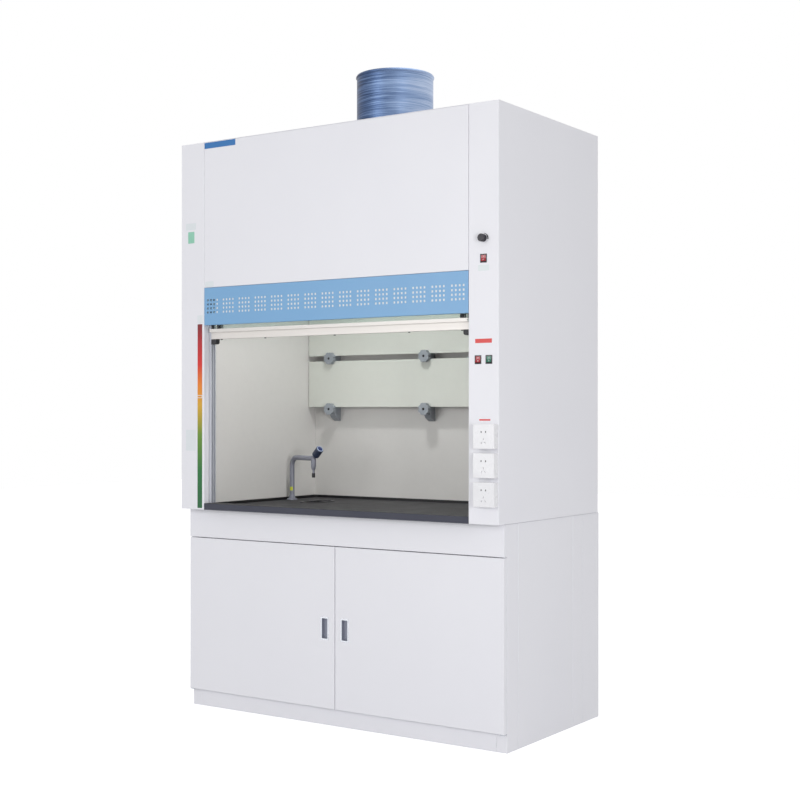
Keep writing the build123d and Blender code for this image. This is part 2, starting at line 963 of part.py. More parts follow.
def notched_plan(front_edge, reach, back_edge):
    """Plan of a board that fills the cabinet, notched round the front posts."""
    notch_x = base_side - post_flange - 2
    notch_y = base_front + 18 + 3
    return outline(
        [
            (-notch_x, front_edge),
            (notch_x, front_edge),
            (notch_x, notch_y),
            (reach, notch_y),
            (reach, back_edge),
            (-reach, back_edge),
            (-reach, notch_y),
            (-notch_x, notch_y),
        ]
    )


def base_floor():
    """Folded floor tray of the cabinet."""
    reach = base_side - base_sheet - base_flange - seat
    inner_back = base_back_y - 2 * base_sheet
    tray = along_z(notched_plan(base_front, reach, inner_back), (floor_z - floor_thickness, floor_z))
    return offset(tray, amount=-base_sheet, openings=tray.faces().sort_by(Axis.Z)[0])


def base_top_frame():
    """Top plate and the rails under it, which carry the worktop and the hood."""
    reach = base_side - base_sheet - base_flange - seat
    inner_back = base_back_y - 2 * base_sheet
    rails = along_z(
        notched_plan(base_front + 1, reach, inner_back), (base_height - frame_thickness, base_skin_z)
    )
    plate = block(
        (-base_side + base_seam, base_side - base_seam),
        (base_front + base_seam, base_back_y - base_seam),
        (base_skin_z, base_height),
    )
    hole = block(
        (-reach + frame_rail, reach - frame_rail),
        (base_front + frame_rail, inner_back - frame_rail),
        (0, base_height + 1),
    )
    return rails + plate - hole


def base_back():
    side = base_side - base_sheet - 2 * seat
    panel = block((-side, side), (base_back_y - 2 * base_sheet, base_back_y - base_sheet), (0, base_skin_z))
    for x, z, radius in ((sink_x, outlet_z, outlet_radius), (tap_x, pipe_z, pipe_radius)):
        panel -= round_bar(radius + 1, (x, base_back_y - 10, z), (x, base_back_y + 1, z))
    return panel


def apron():
    return pan((-base_side, base_side), (door_front, base_front), (apron_z, base_height - 2), door_sheet)


def plinth():
    """Kick board folded back at its top and bottom."""
    section = folded(
        [
            (base_front + plinth_return, plinth_height),
            (base_front, plinth_height),
            (base_front, 0),
            (base_front + plinth_foot, 0),
        ],
        base_sheet,
        2,
    )
    reach = base_side - post_flange - seat
    return along_x(section, (-reach, reach))


def levelling_foot(x, y):
    """Pad, stem and lock nut under the cabinet floor."""
    top = floor_z - base_sheet
    profile = [(0, 0), (foot_radius, 0), (foot_radius, 6), (6, 12), (6, top), (0, top)]
    nut = Pos(x, y, plinth_height - 12) * extrude(RegularPolygon(10, 6), amount=8)
    return turned(profile, Pos(x, y, 0)) + nut


def levelling_feet():
    reach = base_side - foot_inset
    rows = (base_front + foot_inset, base_back_y - foot_inset)
    return group(levelling_foot(side * reach, y) for side in (-1, 1) for y in rows)


def door_pivot():
    """Right door's lower bracket with its pin, and the pin in the apron."""
    plate_top = door_bottom - seat
    plate = block(
        (pivot_x - 14, pivot_x + 5), (pivot_y - 6, base_front), (plate_top - pivot_plate, plate_top)
    )
    lower = round_bar(pivot_radius, (pivot_x, pivot_y, plate_top - 1), (pivot_x, pivot_y, door_bottom + 6))
    upper = round_bar(pivot_radius, (pivot_x, pivot_y, door_top - 6), (pivot_x, pivot_y, apron_z))
    return [plate + lower, upper]


def door_pivots():
    right = door_pivot()
    return group(right + [mirrored(piece) for piece in right])


def door():
    """Right door: an outer tray, closed at the back by an inner tray."""
    x = (door_gap / 2, base_side - 1)
    z = (door_bottom, door_top)
    y = (door_front, door_front + door_thickness)
    outer = pan(x, y, z, door_sheet)
    outer -= pull_cut()
    bore = round_bar(pivot_radius + running, (pivot_x, pivot_y, z[0] - 1), (pivot_x, pivot_y, z[1] + 1))
    inset = door_sheet + seat / 3
    inner = block(
        (x[0] + inset, x[1] - inset), (y[0] + 17, y[1] - 0.5), (z[0] + inset, z[1] - inset)
    )
    inner = offset(inner, amount=-door_sheet, openings=inner.faces().sort_by(Axis.Y)[0])
    return group([outer - bore, inner])


def pull_place():
    x = door_gap / 2 + pull_inset + pull_width / 2
    return x, door_top - pull_drop - pull_height / 2


def pull_cut():
    x, z = pull_place()
    half_w = pull_width / 2 - 3
    half_h = pull_height / 2 - 3
    return block((x - half_w, x + half_w), (door_front - 5, door_front + 5), (z - half_h, z + half_h))


def door_pull():
    """Right door's recessed pull: a bezel proud of the door round a pocket."""
    x, z = pull_place()
    bezel_plan = Pos(x, z) * RectangleRounded(pull_width, pull_height, 4)
    cup_plan = Pos(x, z) * RectangleRounded(pull_width - 6.6, pull_height - 6.6, 3)
    pocket_plan = Pos(x, z) * RectangleRounded(
        pull_width - 6.6 - 2 * pull_wall, pull_height - 6.6 - 2 * pull_wall, 2
    )
    bezel = along_y(bezel_plan, (door_front - pull_bezel, door_front))
    cup = along_y(cup_plan, (door_front - 0.5, door_front + pull_depth))
    pocket = along_y(pocket_plan, (door_front - pull_bezel - 1, door_front + pull_depth - pull_wall))
    return bezel + cup - pocket


def build():
    """Every node's shape by name."""
    nodes = {
        "side_shell_left": mirrored(side_shell()),
        "side_shell_right": side_shell() - controls_cut(),
        "hood_back": hood_back(),
        "hood_roof": hood_roof(),
        "front_panel": front_panel(),
        "bypass_grille": bypass_grille(),
        "liner_sides": pair(liner_side()),
        "liner_back": liner_back(),
        "liner_ceiling": liner_ceiling(),
        "lamp_window": lamp_window(),
        "lamp_housing": lamp_housing(),
        "lamp_tubes": lamp_tubes(),
        "worktop": worktop(),
        "cup_sink": cup_sink(),
        "baffle_middle": baffle((middle_z, middle_z + middle_baffle_height)),
        "baffle_upper": baffle((upper_z, ceiling_z - top_slot)),
        "sash_tracks": pair(sash_track()),
        "sash_glass": sash_glass(),
        "sash_rail": sash_rail(),
        "sash_guides": sash_guides(),
        "front_pulley_right": front_pulley(),
        "front_pulley_left": mirrored(front_pulley()),
        "rear_pulley_shaft": rear_pulley_shaft(),
        "pulley_brackets": group(
            [front_bracket(), rear_bracket(), mirrored(front_bracket()), mirrored(rear_bracket())]
        ),
        "cable_front_runs": pair(cable_run(cable_front, clamp_z + clamp_height)),
        "cable_top_runs": pair(cable_top_run()),
        "cable_rear_runs": pair(cable_run(cable_back, weight_z)),
        "counterweight": counterweight(),
        "duct_collar": duct_collar(),
        "tap_body": tap_body(),
        "tap_handle": tap_handle(),
        "supply_pipe": supply_pipe(),
        "waste_trap": waste_trap(),
        "wall_sockets": wall_sockets(),
        "control_bezels": control_bezels(),
        "speed_knob": speed_knob(),
        "base_posts": pair(base_post()),
        "base_side_panels": pair(base_side_panel()),
        "base_rear_panels": pair(base_rear_panel()),
        "base_back": base_back(),
        "base_floor": base_floor(),
        "base_top_frame": base_top_frame(),
        "apron": apron(),
        "plinth": plinth(),
        "levelling_feet": levelling_feet(),
        "door_pivots": door_pivots(),
        "door_right": door(),
        "door_left": mirrored(door()),
        "handle_right": door_pull(),
        "handle_left": mirrored(door_pull()),
    }
    for name, (x, z) in rocker_places().items():
        nodes[name] = rocker(x, z)
    knob_spots = [
        (f"baffle_knob_{row}_{column}", x, z)
        for row, z in knob_rows().items()
        for column, x in knob_columns().items()
    ]
    for name, x, z in knob_spots:
        nodes[name] = baffle_knob(x, z)
    nodes["baffle_brackets"] = group(baffle_bracket(x, z) for _, x, z in knob_spots)
    return nodes


os.makedirs("parts", exist_ok=True)
for name, shape in build().items():
    export_step(shape, f"parts/{name}.step")
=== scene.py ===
import json
import math

import bmesh
import bpy
from mathutils import Matrix, Vector


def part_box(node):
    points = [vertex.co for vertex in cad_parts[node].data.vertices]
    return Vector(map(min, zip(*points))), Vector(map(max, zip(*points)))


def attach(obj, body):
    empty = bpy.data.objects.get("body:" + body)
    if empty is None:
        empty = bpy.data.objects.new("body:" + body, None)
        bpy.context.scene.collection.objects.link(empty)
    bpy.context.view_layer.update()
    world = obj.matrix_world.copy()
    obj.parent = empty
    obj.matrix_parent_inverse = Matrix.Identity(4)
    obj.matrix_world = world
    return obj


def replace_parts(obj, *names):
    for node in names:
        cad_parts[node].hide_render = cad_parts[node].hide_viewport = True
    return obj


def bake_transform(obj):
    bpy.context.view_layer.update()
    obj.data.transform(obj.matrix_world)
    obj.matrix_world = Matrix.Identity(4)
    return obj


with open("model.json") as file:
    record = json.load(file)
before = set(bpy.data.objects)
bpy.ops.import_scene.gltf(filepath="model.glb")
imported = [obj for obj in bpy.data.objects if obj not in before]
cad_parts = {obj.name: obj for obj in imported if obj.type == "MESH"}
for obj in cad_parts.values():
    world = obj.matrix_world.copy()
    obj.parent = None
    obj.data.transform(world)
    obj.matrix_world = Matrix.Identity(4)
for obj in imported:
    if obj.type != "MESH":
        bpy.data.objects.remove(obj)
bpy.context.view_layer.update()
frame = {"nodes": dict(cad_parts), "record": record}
nodes = frame["nodes"]
print("frame loaded:", len(nodes), "nodes")

# metres and degrees; the place where the photograph was taken
cameraSetup = {
    "place": (3.1674, -4.5630, 1.2067),
    "azimuth": 34.15,
    "pitch": 0.08,
    "roll": -0.03,
    "lens": 62.06,
    "shiftY": 0.0130,
    "farthest": 60,
}


def placeCamera(setup):
    data = bpy.data.cameras.new("camera")
    data.lens = setup["lens"]
    data.shift_y = setup["shiftY"]
    data.clip_end = setup["farthest"]
    camera = bpy.data.objects.new("camera", data)
    camera.location = setup["place"]
    turns = (90 + setup["pitch"], setup["roll"], setup["azimuth"])
    camera.rotation_euler = [math.radians(turn) for turn in turns]
    bpy.context.scene.collection.objects.link(camera)
    bpy.context.scene.camera = camera


placeCamera(cameraSetup)
print("camera placed")


def srgb(red, green, blue):
    # a colour read on the 0-255 scale, as the linear colour that shaders want
    return tuple((c / 255) ** 2.2 for c in (red, green, blue)) + (1.0,)


class Wire:
    # an output socket that can stand in sums; each sum adds its Math node
    def __init__(self, graph, socket):
        self.graph = graph
        self.socket = socket

    def maths(self, operation, first, second):
        return self.graph.add("ShaderNodeMath", {"operation": operation}, {0: first, 1: second})

    def __add__(self, other):
        return self.maths("ADD", self, other)

    def __sub__(self, other):
        return self.maths("SUBTRACT", self, other)

    def __mul__(self, other):
        return self.maths("MULTIPLY", self, other)

    def __truediv__(self, other):
        return self.maths("DIVIDE", self, other)

    def __rsub__(self, other):
        return self.maths("SUBTRACT", other, self)

    def __gt__(self, other):
        return self.maths("GREATER_THAN", self, other)

    def __lt__(self, other):
        return self.maths("LESS_THAN", self, other)

    __radd__ = __add__
    __rmul__ = __mul__


class Graph:
    # a node tree under construction
    def __init__(self, tree):
        self.tree = tree
        self.tree.nodes.clear()

    def add(self, kind, settings=None, inputs=None, output=0):
        node = self.tree.nodes.new(kind)
        for key, value in (settings or {}).items():
            if key == "stops":
                self.fillRamp(node.color_ramp, value)
            else:
                setattr(node, key, value)
        for key, value in (inputs or {}).items():
            if isinstance(value, Wire):
                self.tree.links.new(value.socket, node.inputs[key])
            else:
                node.inputs[key].default_value = value
        return Wire(self, node.outputs[output])

    def fillRamp(self, ramp, stops):
        while len(ramp.elements) < len(stops):
            ramp.elements.new(0.5)
        for element, (place, colour) in zip(ramp.elements, stops):
            element.position = place
            element.color = colour

    def other(self, wire, output):
        # another output of the node that a wire comes from
        return Wire(self, wire.socket.node.outputs[output])


class Paint(Graph):
    # one material and its nodes
    def __init__(self, name):
        self.material = bpy.data.materials.new(name)
        self.material.use_nodes = True
        super().__init__(self.material.node_tree)

    def place(self):
        return self.add("ShaderNodeTexCoord", output=3)

    def stretched(self, scale):
        return self.add("ShaderNodeMapping", inputs={0: self.place(), 3: scale})

    def axis(self, letter):
        return self.add("ShaderNodeSeparateXYZ", inputs={0: self.place()}, output="XYZ".index(letter))

    def noise(self, scale, detail=2.0, stretch=(1, 1, 1), rough=0.5):
        where = self.stretched(stretch)
        return self.add("ShaderNodeTexNoise", inputs={0: where, 2: scale, 3: detail, 4: rough})

    def blend(self, share, first, second):
        return self.add("ShaderNodeMix", {"data_type": "RGBA"}, {0: share, 6: first, 7: second}, output=2)

    def ramp(self, share, stops):
        return self.add("ShaderNodeValToRGB", {"stops": stops}, {0: share})

    def bump(self, height, strength, distance):
        return self.add("ShaderNodeBump", inputs={0: strength, 1: distance, 3: height})

    def surface(self, colour, rough, metal=0.0, bump=None, coat=0.0, glow=None):
        inputs = {"Base Color": colour, "Roughness": rough, "Metallic": metal, "Coat Weight": coat}
        if bump is not None:
            inputs["Normal"] = bump
        if glow is not None:
            inputs["Emission Color"] = glow[0]
            inputs["Emission Strength"] = glow[1]
        return self.add("ShaderNodeBsdfPrincipled", inputs=inputs)

    def done(self, shader):
        out = self.tree.nodes.new("ShaderNodeOutputMaterial")
        self.tree.links.new(shader.socket, out.inputs[0])
        return self.material


class Recipe(Graph):
    # a geometry node tree with named sizes
    def __init__(self, name, sizes):
        tree = bpy.data.node_groups.new(name, "GeometryNodeTree")
        super().__init__(tree)
        tree.interface.new_socket("Base", in_out="INPUT", socket_type="NodeSocketGeometry")
        for label, kind in sizes.items():
            tree.interface.new_socket(label, in_out="INPUT", socket_type="NodeSocket" + kind)
        tree.interface.new_socket("Finish", in_out="INPUT", socket_type="NodeSocketMaterial")
        tree.interface.new_socket("Result", in_out="OUTPUT", socket_type="NodeSocketGeometry")
        self.entry = tree.nodes.new("NodeGroupInput")

    def size(self, label):
        return Wire(self, self.entry.outputs[label])

    def done(self, geometry):
        real = self.add("GeometryNodeRealizeInstances", inputs={0: geometry})
        painted = self.add("GeometryNodeSetMaterial", inputs={0: real, 2: self.size("Finish")})
        out = self.tree.nodes.new("NodeGroupOutput")
        self.tree.links.new(painted.socket, out.inputs[0])
        return self.tree


def powderCoat(name, colour, shade, gloss=0.42):
    # sprayed epoxy: a fine orange peel, faint clouding and a few dull wiped patches
    paint = Paint(name)
    cloud = paint.noise(2.2, 3.0)
    peel = paint.noise(620.0, 1.0) + paint.noise(190.0, 2.0) * 0.6
    wiped = paint.noise(7.0, 4.0, (1, 1, 0.35))
    tone = paint.blend(cloud, colour, shade)
    dull = wiped * 0.12 + (gloss - 0.06)
    return paint.done(paint.surface(tone, dull, bump=paint.bump(peel, 0.10, 0.0004)))


def laminate(name, colour, shade, rough, grain):
    # satin board: faint mottling, a fine pebbled skin and dull fingertip haze
    paint = Paint(name)
    mottle = paint.noise(38.0, 4.0) * 0.5 + paint.noise(3.0, 2.0) * 0.5
    pebble = paint.noise(grain, 2.0)
    haze = paint.noise(9.0, 3.0)
    tone = paint.blend(mottle, colour, shade)
    dull = haze * 0.14 + (rough - 0.07)
    return paint.done(paint.surface(tone, dull, bump=paint.bump(pebble, 0.12, 0.0004)))


# parts of the worktop in other tones: its front face, and the inner face of its raised rim, painted near
# black as painted shade and partly dark sealant
worktopBands = {"front": 0.0005, "rimDeep": 0.0096, "rimEdge": 0.0004, "rimInset": 0.02}


def worktopBoard(name, bands):
    # charcoal resin board with pale and dark specks; the inside of its raised rim is painted near black,
    # partly dark sealant and partly painted shade
    paint = Paint(name)
    low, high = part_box("worktop")
    depth, height = paint.axis("Y"), paint.axis("Z")
    speck = paint.ramp(paint.noise(520.0, 2.0), [
        (0.30, srgb(22, 22, 26)), (0.52, srgb(34, 34, 39)), (0.74, srgb(54, 54, 60))])
    cloud = paint.noise(4.5, 3.0)
    body = paint.blend(cloud * 0.35, speck, srgb(40, 40, 46))
    front = depth < (low.y + bands["front"])
    rim = (height > (high.z - bands["rimDeep"])) * (height < (high.z - bands["rimEdge"]))
    inner = rim * (depth > (low.y + bands["rimInset"]))
    # painted shade, partly dark sealant: the inner face of the raised rim is near black
    tone = paint.blend(inner, paint.blend(front, body, srgb(46, 48, 62)), srgb(14, 14, 17))
    fine = paint.noise(900.0, 2.0)
    dull = paint.noise(11.0, 3.0) * 0.16 + 0.46
    return paint.done(paint.surface(tone, dull, bump=paint.bump(fine, 0.10, 0.0003)))


def brushedMetal(name, colour, streak, stretch, rough=0.32, metal=1.0):
    # drawn or brushed metal: long streaks along the way that is stretched least
    paint = Paint(name)
    lines = paint.noise(1.0, 6.0, stretch, 0.7)
    patch = paint.noise(5.0, 3.0)
    tone = paint.blend(lines * 0.7 + patch * 0.3, colour, streak)
    dull = lines * 0.22 + (rough - 0.11)
    return paint.done(paint.surface(tone, dull, metal, paint.bump(lines, 0.25, 0.0004)))


def moulding(name, colour, shade, rough=0.38, coat=0.0):
    # injection moulded plastic: fine spark-eroded skin, rubbed a little shinier in places
    paint = Paint(name)
    skin = paint.noise(700.0, 3.0)
    rubbed = paint.noise(28.0, 3.0)
    tone = paint.blend(rubbed, colour, shade)
    dull = rubbed * 0.16 + (rough - 0.08)
    return paint.done(paint.surface(tone, dull, bump=paint.bump(skin, 0.14, 0.0003), coat=coat))


def paneGlass(name, tint, film=0.05):
    # thin clear glass: the room shows through it, and it mirrors more at a low angle
    paint = Paint(name)
    through = paint.add("ShaderNodeBsdfTransparent", inputs={0: tint})
    smear = paint.noise(6.0, 4.0, (1, 1, 0.4))
    mirror = paint.surface(srgb(236, 244, 242), smear * 0.06 + 0.02)
    edgeOn = paint.add("ShaderNodeFresnel", inputs={0: 1.45})
    share = edgeOn * 0.8 + film + smear * 0.02
    return paint.done(paint.add("ShaderNodeMixShader", inputs={0: share, 1: through, 2: mirror}))


def ductSteel(name):
    # spigot of thin rolled sheet: fine wavy streaks round it, and a painted dark reflection that darkens
    # one flank
    paint = Paint(name)
    ripple = paint.noise(1.0, 2.0, (7.0, 7.0, 30.0)) * 0.05
    across, depth, height = paint.axis("X"), paint.axis("Y"), paint.axis("Z") + ripple * 0.25
    where = paint.add("ShaderNodeCombineXYZ", inputs={0: across * 3.2, 1: depth * 3.2, 2: height * 250.0})
    streak = paint.add("ShaderNodeTexNoise", inputs={0: where, 2: 1.0, 3: 5.0, 4: 0.68})
    wide = paint.noise(1.0, 3.0, (5.0, 5.0, 46.0))
    # painted dark reflection: the colour runs darker towards one side of the spigot
    paintedDarkReflection = across * 2.3 + depth + 0.36
    tone = paint.ramp(streak * 0.50 + wide * 0.18 + paintedDarkReflection * 0.34, [
        (0.30, srgb(34, 48, 76)), (0.42, srgb(74, 94, 130)),
        (0.54, srgb(128, 150, 186)), (0.70, srgb(186, 200, 224))])
    bump = paint.bump(streak * 0.6 + wide * 0.6, 0.45, 0.0014)
    return paint.done(paint.surface(tone, streak * 0.24 + 0.26, 0.85, bump))


def cupPlastic(name, flangeDeep=0.0004):
    # moulded cup: a charcoal flange like the worktop, and its inside painted near black, partly the black
    # plastic and partly painted shade in the hollow
    paint = Paint(name)
    skin = paint.noise(700.0, 3.0)
    rubbed = paint.noise(28.0, 3.0)
    flange = paint.axis("Z") > (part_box("cup_sink")[1].z - flangeDeep)
    # painted shade, partly the black plastic: the inside of the cup is darker than its flange
    tone = paint.blend(flange, paint.blend(rubbed, srgb(20, 20, 24), srgb(28, 28, 33)), srgb(52, 52, 58))
    return paint.done(paint.surface(tone, rubbed * 0.16 + 0.28, bump=paint.bump(skin, 0.12, 0.0003)))


def pullMetal(name, bezelDeep=0.0022):
    # bright bezel, and a matt grey pocket behind it
    paint = Paint(name)
    lines = paint.noise(1.0, 6.0, (300, 300, 12), 0.7)
    pocket = paint.axis("Y") > (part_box("handle_left")[0].y + bezelDeep)
    bright = paint.blend(lines, srgb(224, 227, 232), srgb(196, 200, 207))
    tone = paint.blend(pocket, bright, paint.blend(lines, srgb(150, 154, 168), srgb(128, 132, 146)))
    dull = pocket * 0.25 + lines * 0.12 + 0.18
    return paint.done(paint.surface(tone, dull, 0.8 - pocket * 0.55, paint.bump(lines, 0.2, 0.0003)))


def lampGlass(name):
    # fluorescent tube: a faintly grained white coat that glows a little
    paint = Paint(name)
    grain = paint.noise(260.0, 2.0)
    tone = paint.blend(grain, srgb(244, 246, 248), srgb(232, 236, 240))
    bump = paint.bump(grain, 0.05, 0.0002)
    return paint.done(paint.surface(tone, grain * 0.1 + 0.25, bump=bump, glow=(tone, 0.6)))


def wireRope(name):
    # bright stranded wire with greasy darker patches
    paint = Paint(name)
    grime = paint.noise(160.0, 3.0)
    tone = paint.blend(grime, srgb(176, 178, 184), srgb(110, 112, 118))
    bump = paint.bump(paint.noise(900.0), 0.2, 0.0002)
    return paint.done(paint.surface(tone, grime * 0.2 + 0.28, 0.95, bump))


finishes = {
    "painted_steel": powderCoat("whiteCoat", srgb(231, 231, 236), srgb(226, 226, 232)),
    "grille_blue": powderCoat("blueCoat", srgb(112, 160, 204), srgb(120, 167, 208), 0.38),
    "liner_board": laminate("linerBoard", srgb(221, 219, 216), srgb(214, 212, 209), 0.46, 420.0),
    "baffle_board": laminate("baffleBoard", srgb(220, 222, 214), srgb(213, 215, 207), 0.44, 420.0),
    "worktop_board": worktopBoard("worktopBoard", worktopBands),
    "sink_plastic": cupPlastic("sinkPlastic"),
    "lamp_diffuser": paneGlass("lampGlass", (0.93, 0.95, 0.94, 1.0), 0.10),
    "lamp_tube": lampGlass("lampTube"),
    "track_aluminium": brushedMetal(
        "trackAluminium", srgb(212, 214, 220), srgb(192, 195, 204), (900, 900, 5), 0.40, 0.35),
    "rail_aluminium": brushedMetal(
        "railAluminium", srgb(212, 208, 204), srgb(198, 194, 190), (5, 900, 900), 0.40, 0.35),
    "sash_glass": paneGlass("sashGlass", (0.90, 0.95, 0.93, 1.0)),
    "black_rubber": moulding("blackRubber", srgb(30, 30, 34), srgb(42, 42, 46), 0.55),
    "pulley_nylon": moulding("pulleyNylon", srgb(226, 224, 216), srgb(214, 212, 204), 0.40),
    "bracket_steel": brushedMetal(
        "bracketSteel", srgb(184, 188, 194), srgb(160, 164, 172), (120, 120, 300), 0.36),
    "cable_steel": wireRope("cableSteel"),
    "weight_steel": brushedMetal(
        "weightSteel", srgb(120, 120, 124), srgb(92, 92, 96), (6, 300, 300), 0.48, 0.9),
    "duct_steel": ductSteel("ductSteel"),
    "tap_coating": powderCoat("tapCoat", srgb(138, 140, 152), srgb(126, 128, 141), 0.34),
    "tap_handle": moulding("tapHandle", srgb(66, 74, 94), srgb(52, 60, 80), 0.36, coat=0.1),
    "pipe_steel": brushedMetal("pipeSteel", srgb(196, 198, 204), srgb(172, 175, 182), (300, 300, 8), 0.26),
    "trap_plastic": moulding("trapPlastic", srgb(228, 228, 222), srgb(218, 218, 212), 0.36),
    "socket_white": moulding("socketWhite", srgb(229, 229, 232), srgb(223, 223, 226), 0.28, coat=0.2),
    "bezel_black": moulding("bezelBlack", srgb(34, 32, 38), srgb(26, 24, 30), 0.42),
    "dial_black": moulding("dialBlack", srgb(38, 36, 46), srgb(28, 26, 34), 0.44),
    "rocker_red": moulding("rockerRed", srgb(172, 24, 42), srgb(146, 16, 32), 0.22, coat=0.4),
    "rocker_green": moulding("rockerGreen", srgb(12, 112, 88), srgb(8, 92, 70), 0.22, coat=0.4),
    "knob_grey": moulding("knobGrey", srgb(158, 164, 171), srgb(144, 150, 158), 0.40),
    "bracket_grey": moulding("bracketGrey", srgb(150, 155, 162), srgb(136, 141, 148), 0.42),
    "pull_metal": pullMetal("pullMetal"),
    "foot_steel": brushedMetal(
        "footSteel", srgb(150, 152, 156), srgb(120, 122, 126), (160, 160, 160), 0.40),
}
slotOf = {part["node"]: part["material_slot"] for part in frame["record"]["subparts"]}
for name, piece in nodes.items():
    for holder in piece.material_slots:
        holder.material = finishes[slotOf[name]]
print("finishes given to", len(nodes), "nodes")


def meshPiece(name, mesh, finish, body):
    piece = bpy.data.objects.new(name, mesh)
    bpy.context.scene.collection.objects.link(piece)
    mesh.materials.clear()
    mesh.materials.append(finish)
    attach(piece, body)
    return piece


def roundedOutline(low, high, radius, steps=5):
    # points round a rectangle with round corners, counter-clockwise
    points = []
    corners = [
        (high[0], high[1], 0), (low[0], high[1], 90), (low[0], low[1], 180), (high[0], low[1], 270)]
    for x, z, start in corners:
        cx = x - math.copysign(radius, x - (low[0] + high[0]) / 2)
        cz = z - math.copysign(radius, z - (low[1] + high[1]) / 2)
        for i in range(steps + 1):
            turn = math.radians(start + 90 * i / steps)
            points.append((cx + radius * math.cos(turn), cz + radius * math.sin(turn)))
    return points


def finishMesh(work, name, smooth=None):
    bmesh.ops.recalc_face_normals(work, faces=work.faces)
    mesh = bpy.data.meshes.new(name)
    work.to_mesh(mesh)
    work.free()
    if smooth is not None:
        mesh.polygons.foreach_set("use_smooth", [True] * len(mesh.polygons))
        mesh.set_sharp_from_angle(angle=math.radians(smooth))
    return mesh


def plateMesh(name, outline, back, front, step=0):
    # a flat plate from the plane y = back to y = front, its front edges stepped in where asked
    work = bmesh.new()
    behind, ahead = [[work.verts.new((x, y, z)) for x, z in outline] for y in (back, front)]
    work.faces.new(behind[::-1])
    work.faces.new(ahead)
    for i in range(len(outline)):
        j = (i + 1) % len(outline)
        work.faces.new((behind[i], behind[j], ahead[j], ahead[i]))
    work.normal_update()
    if step:
        edges = [e for e in work.edges if all(abs(v.co.y - front) < 1e-7 for v in e.verts)]
        bmesh.ops.bevel(work, geom=edges, offset=step, segments=2, affect="EDGES")
    return finishMesh(work, name)


def latheMesh(name, profile, origin, axis, steps, closed=False):
    # a round piece from its (radius, height) outline, turned about the axis through origin
    turn = Vector(axis).to_track_quat("Z", "Y")
    work = bmesh.new()
    rows = []
    for radius, height in profile:
        count = steps if radius > 0 else 1
        angles = [2 * math.pi * i / count for i in range(count)]
        spots = [Vector((radius * math.cos(a), radius * math.sin(a), height)) for a in angles]
        rows.append([work.verts.new(Vector(origin) + turn @ spot) for spot in spots])
    if closed:
        rows.append(rows[0])
    for low, high in zip(rows, rows[1:]):
        for i in range(steps):
            j = (i + 1) % steps
            corners = [low[i % len(low)], low[j % len(low)], high[j % len(high)], high[i % len(high)]]
            face = list(dict.fromkeys(corners))
            if len(face) > 2:
                work.faces.new(face)
    return finishMesh(work, name, 35)


def sleeveFaces(work, rows, i, j):
    # the four faces from point i to point j of four rows that run along a tube of square section
    for a, b in ((0, 1), (1, 3), (3, 2), (2, 0)):
        work.faces.new((rows[a][i], rows[a][j], rows[b][j], rows[b][i]))


def grown(name, recipe, values, finish, base=None):
    # run a recipe once and keep its result as a plain mesh
    holder = bpy.data.objects.new(name + "Maker", base or bpy.data.meshes.new(name + "Base"))
    bpy.context.scene.collection.objects.link(holder)
    modifier = holder.modifiers.new(name, "NODES")
    modifier.node_group = recipe
    for item in recipe.interface.items_tree:
        if item.in_out == "INPUT" and item.name in values:
            modifier[item.identifier] = values[item.name]
        if item.in_out == "INPUT" and item.name == "Finish":
            modifier[item.identifier] = finish
    made = holder.evaluated_get(bpy.context.evaluated_depsgraph_get())
    mesh = bpy.data.meshes.new_from_object(made)
    mesh.name = name
    bpy.data.objects.remove(holder)
    return mesh


hood = "hood"  # the fixed body
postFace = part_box("side_shell_left")[0].y

# room: a pale floor and a white surround that the camera, mirrors and glass see as plain white
room = {
    "floorHalf": 14.0, "floorTone": srgb(204, 204, 206), "floorShade": srgb(201, 201, 203),
    "floorGlow": 0.70, "surround": 0.60,
}
lamps = {
    "frontLamp": {"place": (-2.0, -5.8, 2.2), "aim": (0, 0, 1.1), "size": 3.2, "power": 84},
    "rightLamp": {"place": (4.6, -3.4, 1.3), "aim": (0, 0, 1.2), "size": 1.4, "power": 84},
    "topLamp": {"place": (0.4, 0.6, 5.2), "aim": (0, 0, 1.0), "size": 3.0, "power": 30},
    "hoodLamp": {"place": (0, -0.21, 2.172), "aim": (0, -0.20, 1.0), "size": 0.12, "power": 5.4},
}


def seenPlain(graph):
    # 1 for rays from the camera, from mirrors and through glass, and 0 for the rays that light the object
    path = graph.add("ShaderNodeLightPath")
    rays = path + graph.other(path, "Is Glossy Ray") + graph.other(path, "Is Transmission Ray")
    return graph.add("ShaderNodeClamp", inputs={0: rays})


def buildRoom(setup):
    paint = Paint("floorPaint")
    grain = paint.noise(30.0, 3.0)
    base = paint.surface(paint.blend(grain, setup["floorTone"], setup["floorShade"]), 0.7)
    dark = paint.add("ShaderNodeEmission", inputs={1: 0.0})
    glow = paint.add("ShaderNodeEmission", inputs={1: setup["floorGlow"]})
    seen = paint.add("ShaderNodeMixShader", inputs={0: seenPlain(paint), 1: dark, 2: glow})
    finish = paint.done(paint.add("ShaderNodeAddShader", inputs={0: base, 1: seen}))
    half = setup["floorHalf"]
    corners = [(-half, -half, 0), (half, -half, 0), (half, half, 0), (-half, half, 0)]
    mesh = bpy.data.meshes.new("floor")
    mesh.from_pydata(corners, [], [(0, 1, 2, 3)])
    floor = bpy.data.objects.new("floor", mesh)
    mesh.materials.append(finish)
    bpy.context.scene.collection.objects.link(floor)
    world = bpy.data.worlds.new("surround")
    world.use_nodes = True
    sky = Graph(world.node_tree)
    strength = seenPlain(sky) * (1.0 - setup["surround"]) + setup["surround"]
    light = sky.add("ShaderNodeBackground", inputs={0: (1, 1, 1, 1), 1: strength})
    out = sky.tree.nodes.new("ShaderNodeOutputWorld")
    sky.tree.links.new(light.socket, out.inputs[0])
    bpy.context.scene.world = world


